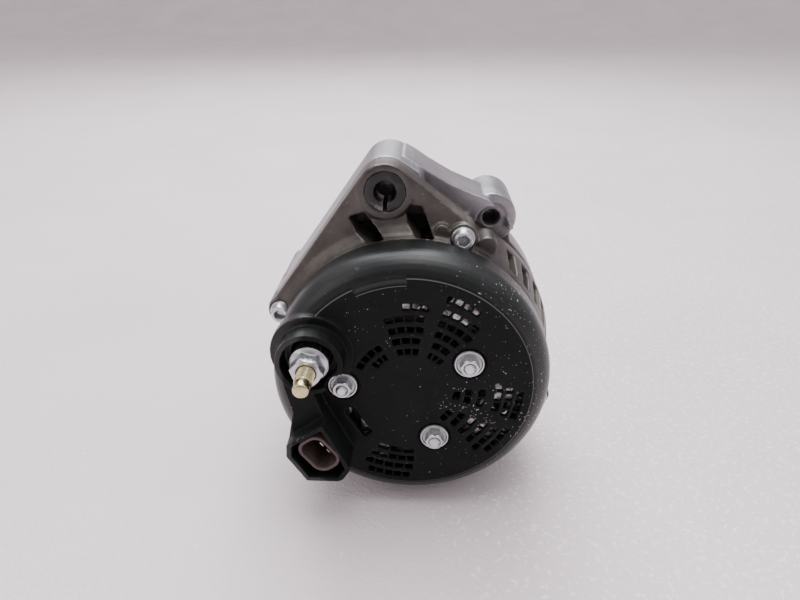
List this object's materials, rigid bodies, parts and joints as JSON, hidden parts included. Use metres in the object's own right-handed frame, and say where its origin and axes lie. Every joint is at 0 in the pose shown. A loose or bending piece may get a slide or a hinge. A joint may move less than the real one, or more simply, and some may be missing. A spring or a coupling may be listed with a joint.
{
  "type": "car alternator",
  "caption": "Belt-driven car alternator: slotted rear cover with battery post and plug, cast brackets with a mounting ear, claw-pole rotor and ribbed pulley.",
  "frame": {"origin": "on the shaft axis, at the middle of the pulley's belt grooves", "axes": "+Y along the shaft, out of the pulley; +Z towards the mounting ear; +X to the right, seen from the rear cover"},
  "size_m": [0.1445, 0.164, 0.1686],
  "materials": {
    "black_plastic": "moulded, slightly sheened",
    "dark_plastic": "potted regulator and connector plastic",
    "brown_plastic": "glass-filled thermoset",
    "cream_plastic": "moulded nylon",
    "cast_aluminium": "die cast, satin",
    "bright_aluminium": "stamped plate",
    "zinc_steel": "clear zinc plated",
    "yellow_zinc": "yellow zinc plated steel",
    "black_steel": "black phosphated steel",
    "bearing_steel": "ground bearing steel",
    "pole_steel": "forged low carbon steel",
    "core_steel": "laminated electrical steel",
    "copper": "enamelled copper wire",
    "slip_copper": "bare copper ring",
    "tin_copper": "tinned copper alloy",
    "carbon": "copper graphite",
    "spring_steel": "spring steel wire",
    "fan_steel": "stamped steel sheet",
    "pulley_steel": "machined steel",
    "seal_rubber": "nitrile rubber"
  },
  "bodies": {
    "housing": {"rear_cover": "black_plastic", "cover_studs": "zinc_steel", "cover_nuts": "zinc_steel", "battery_stud": "yellow_zinc", "battery_nut": "zinc_steel", "battery_spacer": "tin_copper", "connector_shell": "dark_plastic", "connector_pins": "tin_copper", "regulator_body": "dark_plastic", "regulator_plate": "bright_aluminium", "regulator_screws": "zinc_steel", "brush_holder": "brown_plastic", "brush_spring_rear": "spring_steel", "brush_spring_front": "spring_steel", "positive_plate": "bright_aluminium", "negative_plate": "bright_aluminium", "positive_diodes": "tin_copper", "negative_diodes": "tin_copper", "terminal_ring": "brown_plastic", "rectifier_screws": "zinc_steel", "rear_bracket": "cast_aluminium", "front_bracket": "cast_aluminium", "through_bolts": "zinc_steel", "stator_core": "core_steel", "stator_winding": "copper", "rear_bearing_outer": "bearing_steel", "rear_bearing_seals": "seal_rubber", "rear_bearing_sleeve": "black_plastic", "front_bearing_outer": "bearing_steel", "front_bearing_seals": "seal_rubber", "bearing_retainer": "zinc_steel", "retainer_screws": "zinc_steel"},
    "rotor": {"rotor_shaft": "bearing_steel", "rear_claw_pole": "pole_steel", "front_claw_pole": "pole_steel", "field_bobbin": "cream_plastic", "field_coil": "copper", "rear_fan": "fan_steel", "front_fan": "fan_steel", "slip_ring_sleeve": "brown_plastic", "slip_rings": "slip_copper", "rear_bearing_inner": "bearing_steel", "front_bearing_inner": "bearing_steel", "pulley_spacer": "bearing_steel", "pulley": "pulley_steel", "pulley_nut": "zinc_steel"},
    "rear_ball_set": {"rear_bearing_balls": "bearing_steel", "rear_bearing_cage": "cream_plastic"},
    "front_ball_set": {"front_bearing_balls": "bearing_steel", "front_bearing_cage": "cream_plastic"},
    "brush_rear": {"brush_rear": "carbon"},
    "brush_front": {"brush_front": "carbon"},
    "bush": {"ear_bush": "black_steel"}
  },
  "joints": [
    {"name": "rotor_spin", "type": "hinge", "parent": "housing", "child": "rotor", "pos_m": [0, 0, 0], "axis": [0, 1, 0], "continuous": true},
    {"name": "rear_balls_roll", "type": "hinge", "parent": "housing", "child": "rear_ball_set", "pos_m": [0, -0.0845, 0], "axis": [0, 1, 0], "continuous": true},
    {"name": "front_balls_roll", "type": "hinge", "parent": "housing", "child": "front_ball_set", "pos_m": [0, -0.023, 0], "axis": [0, 1, 0], "continuous": true},
    {"name": "rear_brush_slide", "type": "slide", "parent": "housing", "child": "brush_rear", "axis": [0, 0, -1], "range_m": [0, 0.0045], "stiffness_N_per_m": 220, "springref_m": -0.006, "deforming": ["brush_spring_rear"]},
    {"name": "front_brush_slide", "type": "slide", "parent": "housing", "child": "brush_front", "axis": [0, 0, -1], "range_m": [0, 0.0045], "stiffness_N_per_m": 220, "springref_m": -0.006, "deforming": ["brush_spring_front"]},
    {"name": "bush_slide", "type": "slide", "parent": "housing", "child": "bush", "axis": [0, -1, 0], "range_m": [-0.0005, 0.003]}
  ],
  "couplings": [
    {"joint": "rear_balls_roll", "follows": "rotor_spin", "ratio": 0.381},
    {"joint": "front_balls_roll", "follows": "rotor_spin", "ratio": 0.36375}
  ]
}
